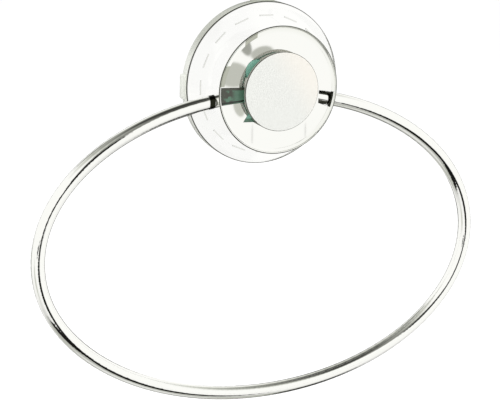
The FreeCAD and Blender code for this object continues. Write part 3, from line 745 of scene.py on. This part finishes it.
def studio_world():
    """White for the camera; for polished metal, a pale studio with darker parts; soft light elsewhere."""
    world = bpy.data.worlds.new("pale_studio")
    bpy.context.scene.world = world
    world.use_nodes = True
    tree = world.node_tree
    tree.nodes.clear()
    output = tree.nodes.new("ShaderNodeOutputWorld")
    way = add_node(tree, "ShaderNodeTexCoord").outputs["Generated"]
    axes = add_node(tree, "ShaderNodeSeparateXYZ", {0: way})
    height = add_node(tree, "ShaderNodeMapRange", {"Value": axes.outputs["Z"]},
                      inputs={"From Min": -1.0, "From Max": 1.0})
    ramp = add_node(tree, "ShaderNodeValToRGB", {0: height.outputs[0]})
    stops = ramp.color_ramp.elements
    made_with_ramp = len(stops)
    for index, (rise, shade) in enumerate(HEIGHTS):
        place = (math.sin(math.radians(rise)) + 1) / 2
        stop = stops[index] if index < made_with_ramp else stops.new(place)
        stop.position = place
        stop.color = rgba(grey(shade))
    seen = ramp.outputs[0]
    for name, turn, rise, half_width, half_height, tilt, softness, shade in REFLECTIONS:
        turn, rise, tilt = (math.radians(angle) for angle in (turn, rise, tilt))
        mapping = add_node(tree, "ShaderNodeMapping", {"Vector": way}, vector_type="TEXTURE", label=name,
                           inputs={"Location": facing(turn, rise),
                                   "Rotation": (tilt, -rise, turn - math.pi / 2),
                                   "Scale": (REFLECTION_DEPTH, half_width, half_height)})
        ball = add_node(tree, "ShaderNodeTexGradient", {"Vector": mapping.outputs[0]},
                        gradient_type="SPHERICAL")
        seen = painted(tree, seen, (region(tree, (ball.outputs["Fac"], 0.0, softness)), grey(shade)))
    refracted = painted(tree, seen, (region(tree, (axes.outputs["Y"], *WHITE_WALL)), WHITE))
    path = add_node(tree, "ShaderNodeLightPath")
    soft = {"Color": rgba(WHITE), "Strength": SOFT_LIGHT}
    shown = add_node(tree, "ShaderNodeBackground", inputs=soft).outputs[0]
    studio = add_node(tree, "ShaderNodeBackground", {"Color": seen}, inputs={"Strength": STUDIO_LIGHT})
    sweep = add_node(tree, "ShaderNodeBackground", {"Color": refracted}, inputs={"Strength": 1.0})
    white = add_node(tree, "ShaderNodeBackground", inputs={"Color": rgba(WHITE), "Strength": 1.0})
    for ray, light in (("Is Glossy Ray", studio), ("Is Transmission Ray", sweep), ("Is Camera Ray", white)):
        mix = add_node(tree, "ShaderNodeMixShader", {0: path.outputs[ray], 1: shown, 2: light.outputs[0]})
        shown = mix.outputs[0]
    tree.links.new(shown, output.inputs["Surface"])


# How much light the matt floor throws back, and how much it glows for the camera.
FLOOR_PAINT = 0.85
FLOOR_GLOW = 0.35
FLOOR_RADIUS = 4.0


def floor_material():
    """Matt white floor, lifted to white where the camera sees it."""
    material, tree, output = new_material("matt_white_floor")
    path = add_node(tree, "ShaderNodeLightPath")
    paint = add_node(tree, "ShaderNodeBsdfDiffuse", inputs={"Color": rgba((FLOOR_PAINT,) * 3)})
    glow = add_node(tree, "ShaderNodeEmission", {"Strength": path.outputs["Is Camera Ray"]},
                    inputs={"Color": rgba((FLOOR_GLOW,) * 3)})
    lifted = add_node(tree, "ShaderNodeAddShader", {0: paint.outputs[0], 1: glow.outputs[0]})
    tree.links.new(lifted.outputs[0], output.inputs["Surface"])
    return material


# Soft boxes: name, turn and height in degrees; then their distance and side in metres and power in watts.
LAMPS = (("soft_box_left", -50, 50), ("soft_box_right", 55, 40))
LAMP_DISTANCE = 1.6
LAMP_SIDE = 1.2
LAMP_WATTS = 7.2


def add_lamp(name, turn, rise):
    """A square soft box that faces the ring. Polished metal and the clear cup don't show it."""
    way = facing(math.radians(turn), math.radians(rise))
    bpy.ops.object.light_add(type="AREA", location=way * LAMP_DISTANCE)
    lamp = bpy.context.object
    lamp.name = name
    lamp.data.size = LAMP_SIDE
    lamp.data.energy = LAMP_WATTS
    lamp.rotation_euler = way.to_track_quat("Z", "Y").to_euler()
    lamp.visible_glossy = False
    lamp.visible_transmission = False


# Depth of the dish's rim, round whose middle the camera turns, and the sensor's width in millimetres.
RIM_FRONT = -22.5 * MM
SENSOR = 36


class RING_OT_stage(bpy.types.Operator):
    """Set up the floor, the light and the camera"""
    bl_idname = "towel_ring.stage"
    bl_label = "Stage"

    def execute(self, context):
        settings = kept("ring_stage")
        scene = context.scene
        scene.view_settings.view_transform = "Standard"
        studio_world()
        for lamp in LAMPS:
            add_lamp(*lamp)
        bpy.ops.mesh.primitive_circle_add(vertices=96, radius=FLOOR_RADIUS, fill_type="NGON",
                                          location=(0, 0, RING_LOW.z - settings.floor))
        floor = context.object
        floor.name = "floor"
        floor.data.materials.append(floor_material())
        floor.visible_glossy = False
        floor.visible_transmission = False
        turn = (Matrix.Rotation(math.radians(settings.azimuth), 4, "Z")
                @ Matrix.Rotation(math.radians(90 - settings.elevation), 4, "X")
                @ Matrix.Rotation(math.radians(settings.roll), 4, "Z"))
        middle = Matrix.Translation((0, RIM_FRONT, 0))
        stand = Matrix.Translation((-settings.aside, -settings.below, settings.distance))
        bpy.ops.object.camera_add()
        camera = context.object
        camera.name = "camera"
        camera.matrix_world = middle @ turn @ stand
        camera.data.lens = settings.lens
        camera.data.sensor_width = SENSOR
        scene.camera = camera
        return {"FINISHED"}


OPERATORS = (RING_OT_wire, RING_OT_housing, RING_OT_cap, RING_OT_cup, RING_OT_fasteners, RING_OT_stage)


class RING_PT_panel(bpy.types.Panel):
    """Buttons for each piece of the towel ring"""
    bl_idname = "RING_PT_panel"
    bl_label = "Towel Ring"
    bl_space_type = "VIEW_3D"
    bl_region_type = "UI"
    bl_category = "Towel Ring"

    def draw(self, context):
        for operator in OPERATORS:
            self.layout.operator(operator.bl_idname)


GROUPS = (("ring_cup_sizes", CupSizes), ("ring_finishes", Finishes), ("ring_stage", StageSettings))


def register():
    for name, group in GROUPS:
        bpy.utils.register_class(group)
        setattr(bpy.types.Scene, name, PointerProperty(type=group))
    for thing in (*OPERATORS, RING_PT_panel):
        bpy.utils.register_class(thing)


def unregister():
    for thing in reversed((*OPERATORS, RING_PT_panel)):
        bpy.utils.unregister_class(thing)
    for name, group in reversed(GROUPS):
        delattr(bpy.types.Scene, name)
        bpy.utils.unregister_class(group)


def main():
    register()
    for operator in OPERATORS:
        group, name = operator.bl_idname.split(".")
        getattr(getattr(bpy.ops, group), name)()


if __name__ == "__main__":
    main()
